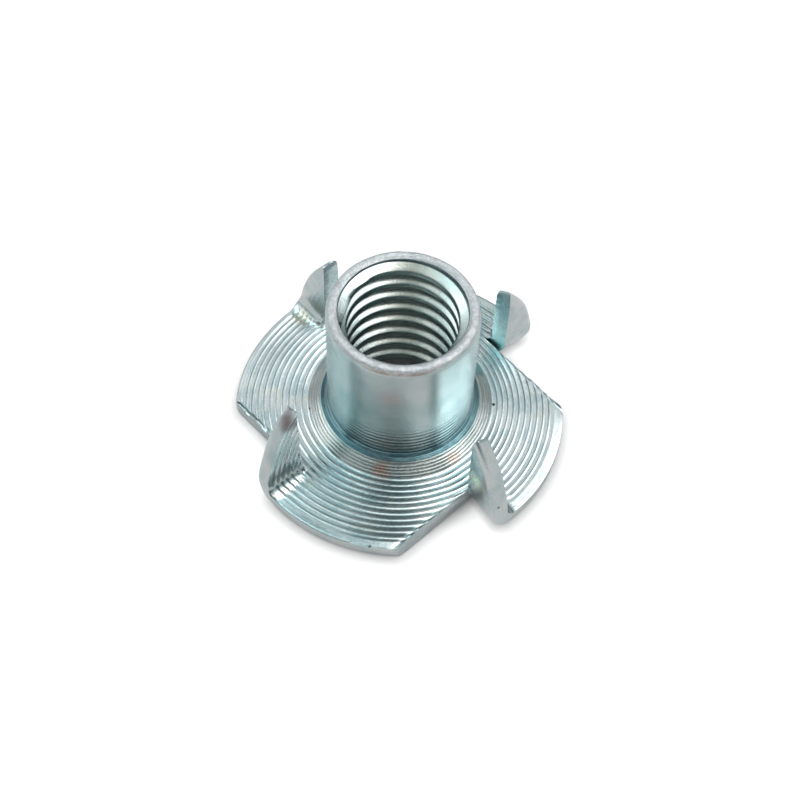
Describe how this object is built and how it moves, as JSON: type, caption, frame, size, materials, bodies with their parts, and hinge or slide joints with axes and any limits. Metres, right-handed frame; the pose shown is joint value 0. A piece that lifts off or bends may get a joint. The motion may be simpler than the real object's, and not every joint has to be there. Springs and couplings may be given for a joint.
{
  "type": "tee nut",
  "caption": "Steel tee nut: a threaded barrel on a round flange with prongs sheared and folded up from its rim to bite into wood.",
  "frame": {"origin": "on the barrel's axis, in the plane of the rim that the nut stands on", "axes": "+Z along the barrel's axis, from the flange to the lip; each fold line lies midway between X and Y"},
  "size_m": [0.0216, 0.0216, 0.0115],
  "materials": {
    "zinc_plated_steel": "bright blue-white zinc plating over turned and sheared steel"
  },
  "bodies": {
    "root": {"tee_nut": "zinc_plated_steel"}
  },
  "joints": []
}
